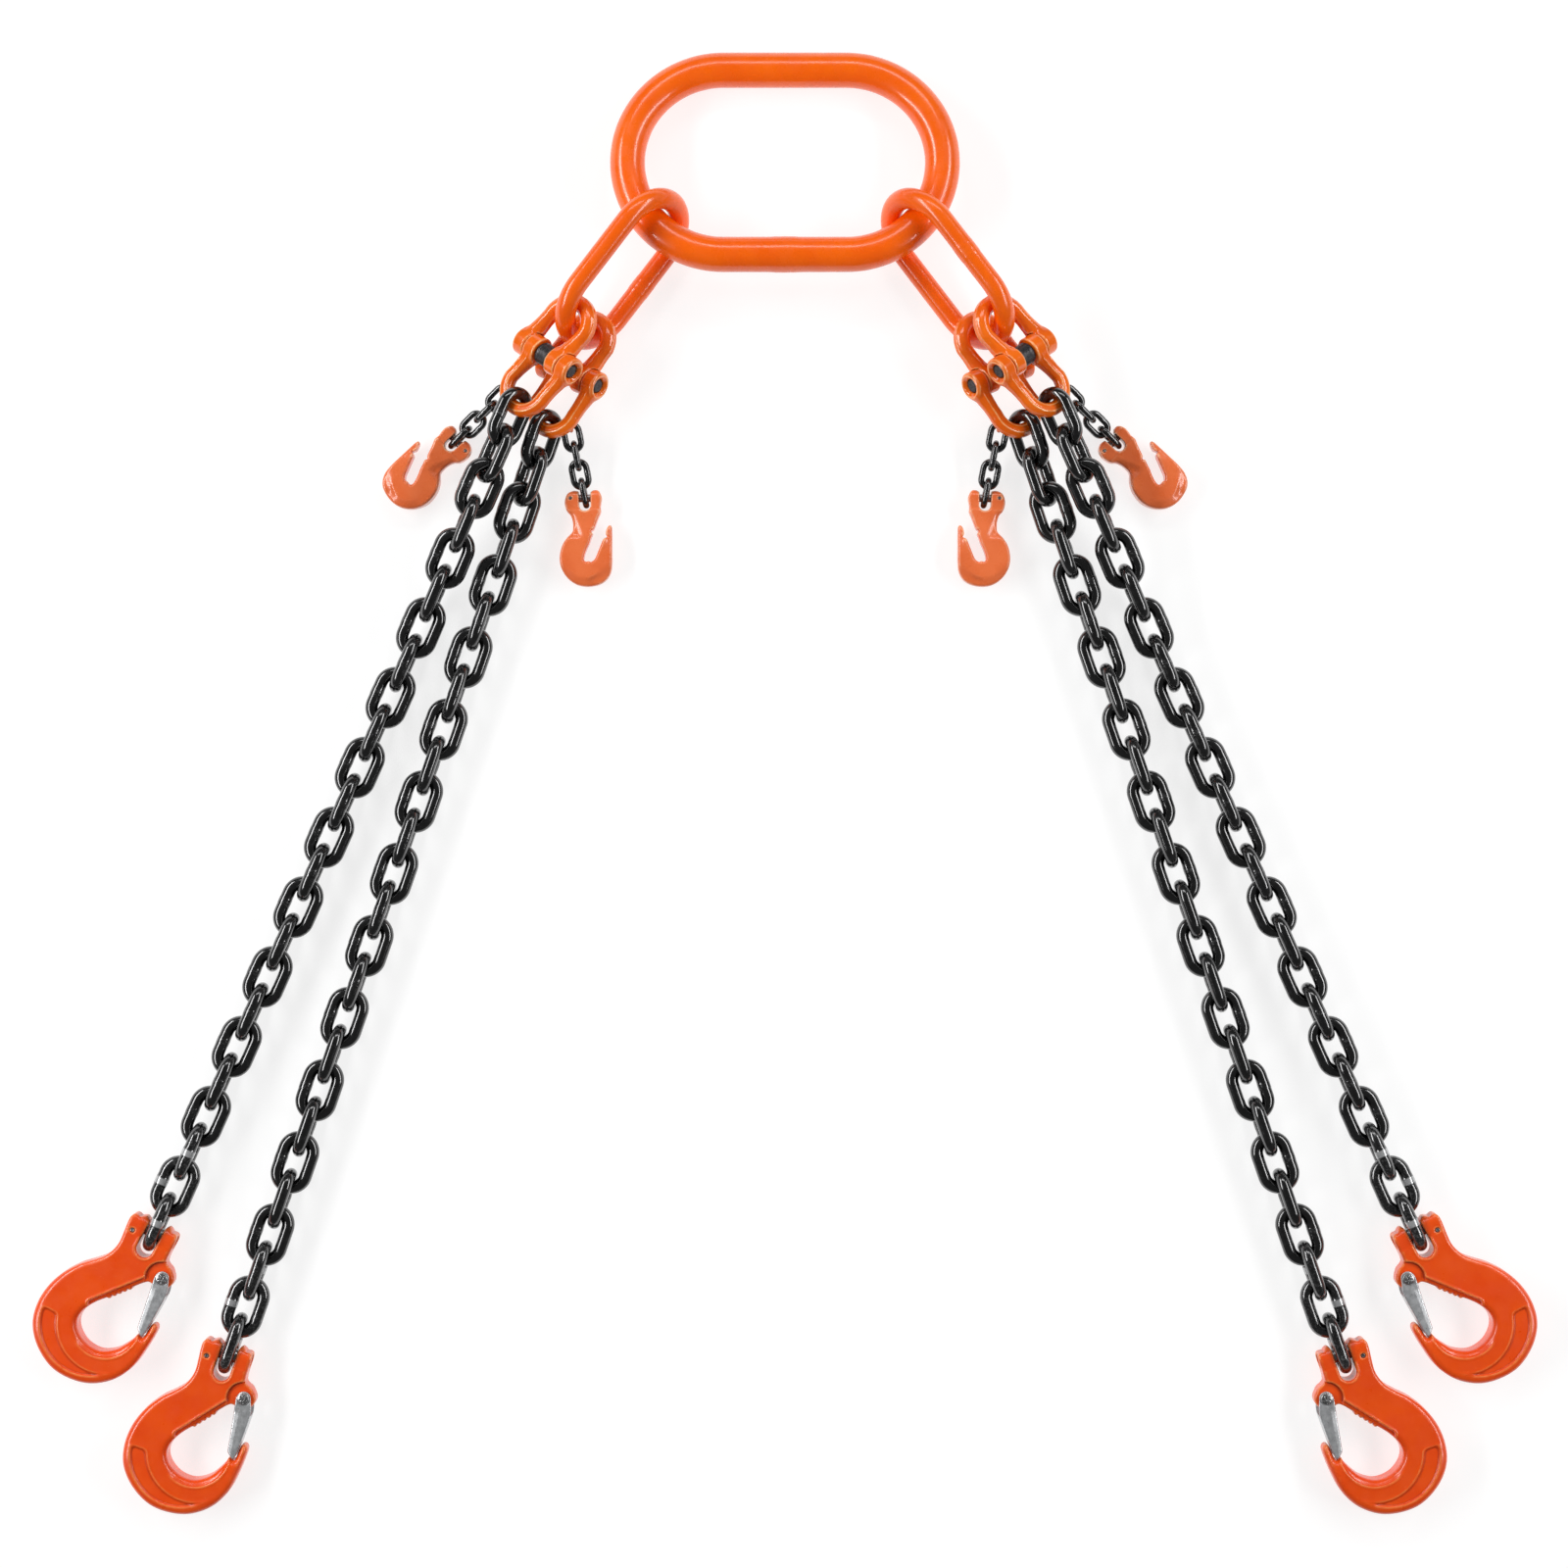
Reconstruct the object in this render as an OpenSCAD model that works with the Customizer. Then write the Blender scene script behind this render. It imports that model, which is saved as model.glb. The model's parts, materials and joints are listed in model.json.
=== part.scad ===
// Four leg chain sling, lying spread out on a flat floor.
// Millimetres. +Z is up, +Y runs from the hooks to the master link, and X = 0 is the plane of symmetry.
// Each leg: master link, intermediate link, coupling link, chain, sling hook. Legs 1 and 2 are on the left,
// and legs 4 and 3 are their mirror images. Each coupling also carries a short chain with a grab hook.
//
// A piece is drawn along its own -Y, the way down the leg, with its local +X to the right and +Z up,
// and the module "pose" then leans it sideways, slopes it down and rolls it about its own length.

/* [Master link] */
// Bar diameter of the master link
master_bar = 22; // [18:0.5:22]
// Length of its straight bars
master_straight = 77; // [70:1:80]
// Radius of its round ends, to the middle of the bar
master_radius = 60.25; // [60:0.25:61]
// Distance of its middle from the origin, along Y
master_y = 388.7; // [380:0.1:400]
// Its tilt: the far bar is on the floor and the near bar lies on the intermediate links
master_tilt = 9.5; // [9:0.1:10]
// Where an intermediate link hangs on its round end, in degrees round from the X axis
seat_angle = 45; // [44:0.5:46]

/* [Intermediate links] */
// Bar diameter
link_bar = 13; // [11:0.5:13]
// Radius of the round ends, to the middle of the bar
link_radius = 27.5; // [27.5:0.1:28]
// Length of the straight bars
link_straight = 49; // [48:1:52]
// Lean away from the Y axis
link_lean = 37.5; // [37:0.5:38]
// Roll about its own length: the right hand bar is low, on the floor
link_roll = -30; // [-31:1:-29]
// From the middle of the master link's bar to the middle of the link
link_slide = 33.5; // [33:0.1:34]

/* [Coupling links] */
// Distance between the two couplings on one intermediate link
coupling_spread = 24; // [22:0.5:24]
// From the pin to the middle of the crown bar
coupling_reach = 38; // [38:0.1:39]
// Radius of the crown, to the middle of the bar
crown_radius = 15; // [15:0.1:15.5]
// Bar diameter of the upper half
crown_bar_upper = 9.5; // [8:0.1:9.5]
// Bar diameter of the lower half, which goes through the first chain link
crown_bar_lower = 8.8; // [8:0.1:8.8]
// Diameter of the coupling pin
coupling_pin_d = 9; // [8:0.1:9]
// Outer diameter of the knuckles
knuckle_d = 18; // [17:0.1:18]
// Outer width over the knuckles
coupling_width = 47; // [47:0.5:48]
// Lean of the outer coupling away from the Y axis
coupling_lean_outer = 33.2; // [33:0.1:33.4]
// Lean of the inner coupling
coupling_lean_inner = 25.6; // [25.4:0.1:25.8]
// Slope of the outer coupling; the inner one lies level
coupling_slope_outer = 4; // [3.8:0.1:4.2]

/* [Leg chains] */
// Bar diameter of the chain
chain_d = 8; // [7.5:0.1:8]
// Pitch of the chain
chain_pitch = 24; // [24:0.01:24.05]
// Inner width of a link
chain_inner = 10.4; // [10.4:0.1:10.6]
// Gap left between two links where they hang in each other
chain_gap = 0.3; // [0.3:0.01:0.35]
// Number of links in an outer leg
chain_links_outer = 24; // [22:1:26]
// Number of links in an inner leg
chain_links_inner = 26; // [24:1:28]
// Lean of an outer leg away from the Y axis
leg_lean_outer = 23.8; // [23.7:0.02:23.9]
// Lean of an inner leg
leg_lean_inner = 18.94; // [18.9:0.02:19]
// Number of links over which an outer leg comes down to the floor
coming_down_outer = 9; // [9:1:10]
// Number of links over which an inner leg comes down
coming_down_inner = 7; // [7:1:8]
// Twist of the first link
first_twist = 46; // [45:1:47]
// How much less twist each next link has
twist_step = 12; // [11:1:13]

/* [Sling hooks] */
// Lean of an outer hook; an inner hook lies in line with its chain
hook_lean_outer = 28.3; // [27:0.1:28.4]
// Diameter of the load pin
load_pin_d = 9; // [8:0.1:9]
// Width of the clevis slot
clevis_slot = 10.5; // [10:0.1:10.5]
// Thickness of the bowl
hook_thick = 20; // [18:0.5:20]
// Thickness of the shank, and diameter of the clevis ears
shank_thick = 17; // [16:0.1:17]
// Thickness of the lug between the latch's cheeks
lug_thick = 12.4; // [11:0.1:12.4]
// Thickness of the latch's sheet steel
latch_sheet = 1.5; // [1:0.1:1.6]
// Diameter of the latch rivet
rivet_d = 5; // [4:0.1:5]

/* [Short chains and grab hooks] */
// Bar diameter of the short chains
small_d = 4; // [3.8:0.1:4]
// Pitch of the short chains
small_pitch = 12; // [12:0.01:12.05]
// Inner width of a small link
small_inner = 5.4; // [5.3:0.1:5.6]
// Number of small links
small_links = 4; // [4:1:4]
// Bar diameter of the eye under the coupling's crown, for the short chain
eye_bar = 3; // [2.8:0.1:3.2]
// Radius of the eye, to the middle of its bar
eye_radius = 4.1; // [4:0.1:4.3]
// How far round the crown the eye of an outer coupling sits, in degrees
eye_angle_outer = 30; // [28:1:32]
// The same on an inner coupling
eye_angle_inner = 20; // [18:1:22]
// Lean of an outer short chain
small_lean_outer = 47.1; // [46:0.1:48]
// Lean of an inner short chain
small_lean_inner = -11; // [-12:0.1:-10]
// Lean of an outer grab hook
grab_lean_outer = 47.1; // [46:0.1:48]
// Lean of an inner grab hook
grab_lean_inner = -1.5; // [-3:0.1:0]
// Thickness of the grab hook
grab_thick = 14; // [13:0.5:14]
// Width of its throat, for the leg chain
grab_throat = 8.6; // [8.4:0.1:8.8]
// Diameter of its pin
grab_pin_d = 5; // [4.6:0.1:5]
// Width of its clevis slot
grab_slot = 7.4; // [7.2:0.1:7.6]

/* [Hidden] */
$fn = 48;
orange = "darkorange";
deep_orange = "orangered";
coral = "coral";
black_steel = "dimgray";
// outer leg first, inner leg second
coupling_lean = [coupling_lean_outer, coupling_lean_inner];
coupling_slope = [coupling_slope_outer, 0];
chain_links = [chain_links_outer, chain_links_inner];
leg_lean = [leg_lean_outer, leg_lean_inner];
hook_lean = [hook_lean_outer, leg_lean_inner];
links_coming_down = [coming_down_outer, coming_down_inner];
eye_angle = [eye_angle_outer, eye_angle_inner];
small_lean = [small_lean_outer, small_lean_inner];
grab_lean = [grab_lean_outer, grab_lean_inner];
fit = 0.05;                // radial play of a pin in its bore
rest_gap = 0.15;           // play on each side of a crown that hangs in another
crossing_gap = 0.9;        // play between the two couplings' crowns and the link they cross
slant_gap = 0.5;           // more play where the first chain link crosses the crown at a slant
eye_drop = 0.6;            // how far the hole of the eye is below the crown's bar
floor_gap = 0.1;           // height of the lowest bars over the floor
eps = 0.01;

// ---- vectors ----
function turn_x(a, v) = [v[0], v[1] * cos(a) - v[2] * sin(a), v[1] * sin(a) + v[2] * cos(a)];
function turn_y(a, v) = [v[0] * cos(a) + v[2] * sin(a), v[1], v[2] * cos(a) - v[0] * sin(a)];
function turn_z(a, v) = [v[0] * cos(a) - v[1] * sin(a), v[0] * sin(a) + v[1] * cos(a), v[2]];
// A pose is [place, lean, slope, roll]
function turned(pose, v) = turn_z(-pose[1], turn_x(pose[2], turn_y(pose[3], v)));
function placed(pose, v) = pose[0] + turned(pose, v);
function down(lean, slope) = turned([[0, 0, 0], lean, slope, 0], [0, -1, 0]);
function sum_to(list, n) = n <= 0 ? 0 : list[n - 1] + sum_to(list, n - 1);

module pose(p) {
    translate(p[0]) rotate([0, 0, -p[1]]) rotate([p[2], 0, 0]) rotate([0, p[3], 0]) children();
}

// ---- where everything lies: leg type 0 is an outer leg and 1 an inner leg, both on the left ----
function master_point(x, y) = [
    x,
    master_y + master_radius + (y - master_radius) * cos(master_tilt),
    master_bar / 2 - (y - master_radius) * sin(master_tilt)
];
seat = master_point(-master_straight / 2 - master_radius * cos(seat_angle), -master_radius * sin(seat_angle));
link_height = link_bar / 2 + link_radius * cos(link_roll);
link_middle = seat + link_slide * down(link_lean, 0);
link_pose = [[link_middle[0], link_middle[1], link_height], link_lean, 0, link_roll];

crossing_radius = link_radius - link_bar / 2 - crown_bar_upper / 2 - crossing_gap;
crossing_depth = sqrt(pow(crossing_radius, 2) - pow(coupling_spread / 2, 2));
function coupling_top(t) = placed(
    link_pose, [0, -link_straight / 2 - crossing_depth, (t == 0 ? 1 : -1) * coupling_spread / 2]);
function coupling_pose(t) = [
    coupling_top(t) + coupling_reach * down(coupling_lean[t], coupling_slope[t]),
    coupling_lean[t], coupling_slope[t], link_roll
];
function coupling_low(t) = placed(coupling_pose(t), [0, -coupling_reach, 0]);

outer_half = chain_inner / 2 + chain_d;
chain_height = outer_half + floor_gap;
function fall_share(t, i) =
    i < links_coming_down[t] ? (1 - cos(360 * (i + 0.5) / links_coming_down[t])) / links_coming_down[t] : 0;
function falls(t) = [for (i = [0:chain_links[t] - 1]) (coupling_low(t)[2] - chain_height) * fall_share(t, i)];
function steps(t) = [for (fall = falls(t)) sqrt(pow(chain_pitch, 2) - pow(fall, 2))];
crown_contact = crown_bar_lower / 2 + rest_gap + slant_gap;
function chain_start(t) = coupling_low(t) - crown_contact * down(leg_lean[t], asin(falls(t)[0] / chain_pitch));
// The point where link i hangs in the one before it
function contact(t, i) = chain_start(t) + sum_to(steps(t), i) * down(leg_lean[t], 0) - [0, 0, sum_to(falls(t), i)];
function link_at(t, i) = [
    (contact(t, i) + contact(t, i + 1)) / 2,
    leg_lean[t],
    asin(falls(t)[i] / chain_pitch),
    (i % 2 == 0 ? 0 : 90) + max(0, first_twist - twist_step * i)
];
function segment_first(t, part) = [0, 8, 16, chain_links[t]][part];

hook_length = 106;
hook_slope = asin((chain_height - hook_thick / 2 - floor_gap) / hook_length);
function hook_pose(t) = [
    contact(t, chain_links[t]) - (load_pin_d / 2 + rest_gap) * down(leg_lean[t], 0), hook_lean[t], hook_slope, 0
];

// Arm of a coupling's half, from the crown to its outer and to its inner knuckle
arm_top = [crown_radius, coupling_reach - crown_radius];
outer_knuckle = [14.5, coupling_width / 2];
inner_knuckle = [5.5, 14];
function middle_of(span) = (span[0] + span[1]) / 2;
// Middle of the eye: it hangs under the crown's outer flank, on the side where the short chain goes
function eye_point(t) = placed(coupling_pose(t), [
        (t == 0 ? -1 : 1) * arm_top[0] * cos(eye_angle[t]),
        -arm_top[1] - crown_radius * sin(eye_angle[t]),
        0
    ]) - [0, 0, crown_bar_lower / 2 + eye_radius - eye_bar / 2 + eye_drop];
small_start = eye_radius - eye_bar / 2;
grab_height = grab_thick / 2 + 3 * floor_gap;
small_run = small_start + small_links * small_pitch - grab_pin_d / 2;
function small_slope(t) = asin((eye_point(t)[2] - grab_height) / small_run);
function small_at(t, along, roll) = [
    eye_point(t) + along * down(small_lean[t], small_slope(t)), small_lean[t], small_slope(t), roll
];
function grab_pose(t) = [small_at(t, small_run, 0)[0], grab_lean[t], 0, 0];

// ---- bars and links ----
module half_ring(radius, d) {
    rotate_extrude(angle = 180) translate([radius, 0]) circle(d = d);
}

module bar_between(a, b, d) {
    v = b - a;
    translate(a) rotate([0, 0, atan2(v[1], v[0])]) rotate([0, 90 - atan2(v[2], norm([v[0], v[1]])), 0])
        cylinder(h = norm(v), d = d);
}

// A closed oblong of round bar in the XY plane, long along Y
module oblong(straight, radius, d) {
    for (end = [0, 180]) {
        rotate([0, 0, end]) translate([0, straight / 2, 0]) half_ring(radius, d);
        rotate([0, 0, end]) translate([radius, straight / 2, 0]) rotate([90, 0, 0]) cylinder(h = straight, d = d);
    }
}

module chain_link(d, pitch, inner) {
    oblong(pitch + chain_gap - inner, (inner + d) / 2, d);
}

module master_link() {
    color(orange) translate([0, master_y + master_radius * (1 - cos(master_tilt)), 0])
        translate([0, 0, master_bar / 2 + master_radius * sin(master_tilt)]) rotate([-master_tilt, 0, 0])
            rotate([0, 0, 90]) oblong(master_straight, master_radius, master_bar);
}

module intermediate_link() {
    color(orange) pose(link_pose) rotate([0, 90, 0]) oblong(link_straight, link_radius, link_bar);
}

// ---- coupling link: two forged halves, a pin and a sleeve ----
module knuckle(span, d) {
    translate([span[0], 0, 0]) rotate([0, 90, 0]) cylinder(h = span[1] - span[0], d = d);
}

// Crown upwards, outer knuckle on the right and inner knuckle on the left
module coupling_half(crown_bar) {
    outer_foot = [middle_of(outer_knuckle), knuckle_d / 4, 0];
    inner_foot = [-middle_of(inner_knuckle), knuckle_d / 4, 0];
    right_top = [arm_top[0], arm_top[1], 0];
    left_top = [-arm_top[0], arm_top[1], 0];
    play = 0.4;
    shoulder = 0.8;
    color(orange) difference() {
        union() {
            translate(right_top - [arm_top[0], 0, 0]) half_ring(crown_radius, crown_bar);
            translate(right_top) sphere(d = crown_bar + shoulder);
            translate(left_top) sphere(d = crown_bar + shoulder);
            difference() {
                union() {
                    bar_between(right_top, outer_foot, crown_bar);
                    bar_between(left_top, inner_foot, crown_bar);
                }
                // room for the other half's knuckles and the sleeve
                knuckle([-coupling_width / 2 - 1, -inner_knuckle[1] - play / 2], knuckle_d + 2 * play);
                knuckle([-inner_knuckle[0] + play / 2, outer_knuckle[0] - play / 2], knuckle_d + 2 * play);
            }
            knuckle(outer_knuckle, knuckle_d);
            knuckle([-inner_knuckle[1], -inner_knuckle[0]], knuckle_d);
        }
        knuckle([-coupling_width, coupling_width], coupling_pin_d + 2 * fit);
    }
}

module coupling_upper_half(t) {
    pose(coupling_pose(t)) mirror([1, 0, 0]) coupling_half(crown_bar_upper);
}

module coupling_lower_half(t) {
    pose(coupling_pose(t)) mirror([0, 1, 0]) coupling_half(crown_bar_lower);
    color(orange) pose(small_at(t, 0, 0)) rotate([0, 90, 0])
        rotate_extrude() translate([eye_radius, 0]) circle(d = eye_bar);
}

module coupling_pin(t) {
    end = coupling_width / 2 - 0.5;
    color("silver") pose(coupling_pose(t)) knuckle([-end, end], coupling_pin_d);
}

module coupling_sleeve(t) {
    sleeve_half = 5;
    color(black_steel) pose(coupling_pose(t)) difference() {
        knuckle([-sleeve_half, sleeve_half], 14);
        knuckle([-coupling_width, coupling_width], coupling_pin_d + 2 * fit);
    }
}

// ---- leg chain, in three runs ----
module chain_run(t, part) {
    color(black_steel) for (i = [segment_first(t, part):segment_first(t, part + 1) - 1])
        pose(link_at(t, i)) chain_link(chain_d, chain_pitch, chain_inner);
}

// ---- sling hook: the load pin is at the origin, the throat is on the +X side ----
bowl_middle = [-7.2, -69];
bowl_radius = 37.4;
opening_middle = [0.5, -64];
opening_radius = 18;
pivot = [18.1, -22.4];
lug_radius = 6.6;
latch_room = 10.5;
slot_floor = -16;
cheek_gap = lug_thick / 2 + 0.2;

// A plate cut to an outline, and a round one
module plate(points, h) {
    linear_extrude(height = h, center = true) polygon(points);
}

module disc(middle, radius, h) {
    translate(middle) cylinder(h = h, r = radius, center = true, $fn = 96);
}

module hook_plate() {
    over = hook_thick + 2;
    difference() {
        union() {
            difference() {
                union() {
                    plate([
                        [-18, 12], [15, 12], [15.4, -12.4], [19.2, -15.8], [24, -22.4], [16, -26], [-14, -66],
                        [-38, -47.5], [-28, -36], [-19.4, -26], [-16.6, -18], [-17, -2]
                    ], hook_thick);
                    disc(bowl_middle, bowl_radius, hook_thick);
                    disc(pivot, lug_radius, hook_thick);
                }
                // the throat, between the shank and the tip
                plate([
                    [-16.2, -60], [-8.2, -50.4], [9.1, -29.9], [13.6, -26.6], [26, -30], [50, -24], [50, -50],
                    [27.3, -50], [25.6, -61.3], [20.6, -61.3], [18, -66], [0, -70]
                ], over);
            }
            // the tip stands a little outside the bowl's own circle
            plate([
                [12, -86], [30, -76], [30.2, -60], [30, -53], [28.8, -50.5], [27.3, -50], [25.6, -61.3], [17, -61.3]
            ], hook_thick);
        }
        disc(opening_middle, opening_radius, over);
    }
}

// Outline seen from the side, X is along the hook and Y across its thickness
module hook_side() {
    polygon([
        [12, shank_thick / 2], [-34, shank_thick / 2], [-60, hook_thick / 2], [-110, hook_thick / 2],
        [-110, -hook_thick / 2], [-60, -hook_thick / 2], [-34, -shank_thick / 2], [12, -shank_thick / 2]
    ]);
}

// What is cut off the ears to round them about the pin
module ear_rounding(d) {
    difference() {
        translate([-40, 0, -d]) cube([80, d, 2 * d]);
        across_x(100, d);
    }
}

module across_x(length, d, x = 0) {
    translate([x, 0, 0]) rotate([0, 90, 0]) cylinder(h = length, d = d, center = true);
}

// The retaining pin runs across the load pin and bites into its edge
retaining = [-12.4, -4.1, 0];
retaining_d = 3;

module sling_hook_body(t) {
    color(deep_orange) pose(hook_pose(t)) difference() {
        intersection() {
            hook_plate();
            rotate([90, 0, 90]) linear_extrude(height = 120, center = true) hook_side();
        }
        ear_rounding(shank_thick);
        // clevis slot with a round floor
        linear_extrude(height = 2 * hook_thick, center = true) {
            translate([-clevis_slot / 2, slot_floor + clevis_slot / 2]) square([clevis_slot, 40]);
            translate([0, slot_floor + clevis_slot / 2]) circle(d = clevis_slot);
        }
        across_x(100, load_pin_d + 2 * fit);
        translate(retaining) cylinder(h = 40, d = retaining_d + 2 * fit, center = true);
        // room for the latch's cheeks, on both faces
        for (side = [-1, 1])
            translate([pivot[0], pivot[1], side * (lug_thick / 2 + 5)])
                cylinder(h = 10, r = latch_room, center = true);
        translate(pivot) cylinder(h = 40, d = rivet_d + 2 * fit, center = true);
    }
}

module sling_hook_load_pin(t) {
    left = -17.2;
    right = 14.6;
    retaining_h = 15;
    color("silver") pose(hook_pose(t)) {
        difference() {
            across_x(right - left, load_pin_d, (left + right) / 2);
            translate(retaining) cylinder(h = 20, d = retaining_d + 2 * fit, center = true);
        }
        translate(retaining) cylinder(h = retaining_h, d = retaining_d, center = true);
    }
}

module latch_outline() {
    translate(pivot) circle(r = 4.5);
    polygon([[13.6, -22.8], [19.3, -57], [24.4, -60.6], [25.2, -52.7], [25.5, -31.9], [22.6, -22]]);
}

module sling_hook_latch(t) {
    outer = 2 * (cheek_gap + latch_sheet);
    color("gainsboro") pose(hook_pose(t)) difference() {
        linear_extrude(height = outer, center = true) latch_outline();
        // the fold: open towards the throat, closed on the outer edge and at the nose
        linear_extrude(height = 2 * cheek_gap, center = true)
            polygon([[5, -5], [30, -5], [30, -32.5], [23.8, -32.5], [23.6, -55.6], [19, -55.6], [5, -60]]);
        translate(pivot) cylinder(h = 40, d = rivet_d + 2 * fit, center = true);
    }
}

module sling_hook_latch_rivet(t) {
    grip = cheek_gap + latch_sheet + 0.1;
    head_h = 1.4;
    color("silver") pose(hook_pose(t)) translate(pivot) {
        cylinder(h = 2 * grip, d = rivet_d, center = true);
        for (side = [-1, 1])
            translate([0, 0, side * (grip + head_h / 2)]) cylinder(h = head_h + eps, d = rivet_d + 3.6, center = true);
    }
}

// ---- short chain, every other link on edge ----
module short_chain(t) {
    color(black_steel) for (i = [0:small_links - 1])
        pose(small_at(t, small_start + (i + 0.5) * small_pitch, i % 2 == 0 ? 0 : 90))
            chain_link(small_d, small_pitch, small_inner);
}

// ---- grab hook: the pin is at the origin, the tip is on the +X side ----
grab_middle = [-0.2, -39];
grab_radius = 16.7;
grab_ear_d = 10.8;
grab_bottom = [2.8, -36.2];
grab_mouth_lean = 22.5;
grab_throat_depth = 18;

module grab_plate() {
    over = grab_thick + 2;
    difference() {
        union() {
            plate([
                [-13, 10], [9.6, 10], [9.8, -8], [7.8, -15.3], [5.7, -19], [6, -40], [-14, -32], [-10.7, -24.5],
                [-7.3, -18.5], [-8, -13], [-12.8, -6.8]
            ], grab_thick);
            disc(grab_middle, grab_radius, grab_thick);
            plate([[5, -44], [15.8, -44], [16.6, -36], [16.7, -19.2], [15.8, -17.6], [14.4, -18.4], [13.4, -21], [8, -26]],
                grab_thick);
        }
        // the throat leans towards the tip, and starts below the shank
        disc(grab_bottom, grab_throat / 2 + 0.3, over);
        translate(grab_bottom) rotate([0, 0, -grab_mouth_lean])
            translate([-grab_throat / 2, 0, -over / 2]) cube([grab_throat, grab_throat_depth, over]);
    }
}

module grab_side() {
    polygon([
        [10, grab_ear_d / 2], [-16, grab_ear_d / 2], [-26, grab_thick / 2], [-60, grab_thick / 2],
        [-60, -grab_thick / 2], [-26, -grab_thick / 2], [-16, -grab_ear_d / 2], [10, -grab_ear_d / 2]
    ]);
}

module grab_facing(t) {
    pose(grab_pose(t)) mirror([t == 0 ? 1 : 0, 0, 0]) children();
}

grab_cross_x = -9;
grab_cross_d = 2;

module grab_hook_body(t) {
    slot_bottom = -8.2;
    color(coral) grab_facing(t) difference() {
        intersection() {
            grab_plate();
            rotate([90, 0, 90]) linear_extrude(height = 80, center = true) grab_side();
        }
        ear_rounding(grab_ear_d);
        linear_extrude(height = 2 * grab_thick, center = true) {
            translate([-grab_slot / 2, slot_bottom + grab_slot / 2]) square([grab_slot, 30]);
            translate([0, slot_bottom + grab_slot / 2]) circle(d = grab_slot);
        }
        across_x(80, grab_pin_d + 2 * fit);
        translate([grab_cross_x, 0, 0]) cylinder(h = 30, d = grab_cross_d + 2 * fit, center = true);
    }
}

module grab_hook_pins(t) {
    color("silver") grab_facing(t) {
        difference() {
            across_x(21.2, grab_pin_d, -1.6);
            translate([grab_cross_x, 0, 0]) cylinder(h = 20, d = grab_cross_d + 2 * fit, center = true);
        }
        translate([grab_cross_x, 0, 0]) cylinder(h = grab_ear_d - 1, d = grab_cross_d, center = true);
    }
}

module on_side(right) {
    mirror([right ? 1 : 0, 0, 0]) children();
}

master_link();
on_side(false) intermediate_link();  // link_left
on_side(true) intermediate_link();  // link_right
for (leg = [1:4]) {
    right = leg > 2;
    t = leg == 1 || leg == 4 ? 0 : 1;
    on_side(right) coupling_upper_half(t);
    on_side(right) coupling_lower_half(t);
    on_side(right) coupling_pin(t);
    on_side(right) coupling_sleeve(t);
    on_side(right) chain_run(t, 0);
    on_side(right) chain_run(t, 1);
    on_side(right) chain_run(t, 2);
    on_side(right) sling_hook_body(t);
    on_side(right) sling_hook_load_pin(t);
    on_side(right) sling_hook_latch(t);
    on_side(right) sling_hook_latch_rivet(t);
    on_side(right) short_chain(t);
    on_side(right) grab_hook_body(t);
    on_side(right) grab_hook_pins(t);
}
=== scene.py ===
"""Four leg chain sling: the visual model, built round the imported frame.

Shapes are made in millimetres in a piece's own axes: -Y down the leg, +X to the right, +Z up.
Places come from the frame, so a piece is put where its joint or its CAD solid is.
Legs 3 and 4 mirror legs 2 and 1.
Forged parts are distance fields, functions of x, y and z that are negative inside, and net() meshes them.
"""
import json
import math

import bpy
import numpy as np
from mathutils import Matrix


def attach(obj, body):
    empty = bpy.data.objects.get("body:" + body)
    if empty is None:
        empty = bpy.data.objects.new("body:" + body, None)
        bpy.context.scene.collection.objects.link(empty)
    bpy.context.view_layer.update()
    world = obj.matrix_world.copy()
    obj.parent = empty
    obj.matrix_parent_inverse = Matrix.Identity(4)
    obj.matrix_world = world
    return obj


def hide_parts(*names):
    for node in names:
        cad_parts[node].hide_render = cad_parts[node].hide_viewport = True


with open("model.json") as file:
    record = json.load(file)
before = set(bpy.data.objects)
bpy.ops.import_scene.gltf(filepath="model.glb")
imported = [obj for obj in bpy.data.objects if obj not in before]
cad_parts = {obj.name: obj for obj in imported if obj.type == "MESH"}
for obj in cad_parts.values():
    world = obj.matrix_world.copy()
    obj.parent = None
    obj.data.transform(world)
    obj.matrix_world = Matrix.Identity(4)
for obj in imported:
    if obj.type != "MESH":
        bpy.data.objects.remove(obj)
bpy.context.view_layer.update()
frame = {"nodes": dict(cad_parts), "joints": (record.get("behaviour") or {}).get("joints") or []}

MM = 0.001
UP = np.array([0.0, 0.0, 1.0])
LEGS = (1, 2, 3, 4)
OUTER_LEGS = (1, 4)
JOINTS = {joint["name"]: joint for joint in frame["joints"]}


# ---- places, read from the frame: a pose is (origin in metres, matrix with the local axes as columns) ----
def unit(v):
    return v / np.linalg.norm(v)


def joint_at(name):
    return np.array(JOINTS[name]["pos_m"]), unit(np.array(JOINTS[name]["axis"]))


def side_of(leg):
    """+1 for the left legs and -1 for the right ones, whose joint axes are mirror images."""
    return 1 if leg < 3 else -1


def hook_pose(leg):
    origin, tilt = joint_at(f"sling_hook_{leg}_tilt")
    latch = joint_at(f"sling_hook_{leg}_latch_open")[1]
    side = side_of(leg)
    x, z = -side * tilt, -side * latch
    return origin, np.column_stack([x, side * np.cross(z, x), z])


def coupling_pose(leg):
    origin, hinge = joint_at(f"coupling_{leg}_hinge")
    side = side_of(leg)
    x = -side * hinge
    y = joint_at(f"coupling_{leg}_swing")[0] - origin
    y = unit(y - x * (x @ y))
    return origin, np.column_stack([x, y, side * np.cross(x, y)])


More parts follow.
